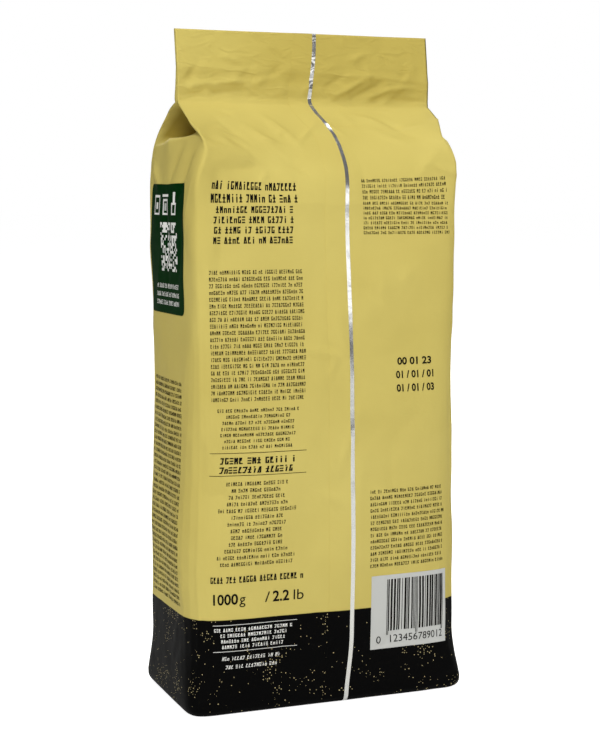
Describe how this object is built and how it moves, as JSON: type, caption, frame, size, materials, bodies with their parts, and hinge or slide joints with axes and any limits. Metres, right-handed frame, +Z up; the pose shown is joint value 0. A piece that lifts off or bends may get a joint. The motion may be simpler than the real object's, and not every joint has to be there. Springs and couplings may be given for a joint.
{
  "type": "side-gusset coffee bag",
  "caption": "Tall side-gusset bag of laminated film with a flat sealed header, a folded back fin seam and a one-way valve, filled with roasted coffee beans.",
  "frame": {"origin": "centre of the base, on the surface that the bag stands on", "axes": "+Z up the bag, the back panel with the fin seam faces -Y, the front panel with the valve faces +Y"},
  "size_m": [0.1386, 0.0836, 0.32],
  "materials": {
    "printed_film": "satin",
    "coffee_beans": "satin",
    "valve_plastic": "satin",
    "valve_rubber": "matte",
    "filter_paper": "matte"
  },
  "bodies": {
    "pouch": {"film_pouch": "printed_film", "back_fin_seam": "printed_film", "bottom_seal": "printed_film", "bean_fill": "coffee_beans", "valve_body": "valve_plastic", "valve_cap": "valve_plastic", "valve_filter": "filter_paper"},
    "header": {"header_plies": "printed_film", "top_seal": "printed_film", "header_fin_seam": "printed_film"},
    "valve_disc": {"valve_disc": "valve_rubber"}
  },
  "joints": [
    {"name": "header_fold", "type": "hinge", "parent": "pouch", "child": "header", "pos_m": [0, -0.0055, 0.288], "axis": [1, 0, 0], "range_deg": [-100, 100]},
    {"name": "valve_disc_lift", "type": "slide", "parent": "pouch", "child": "valve_disc", "axis": [0, 1, 0], "range_m": [0, 0.0004]}
  ]
}
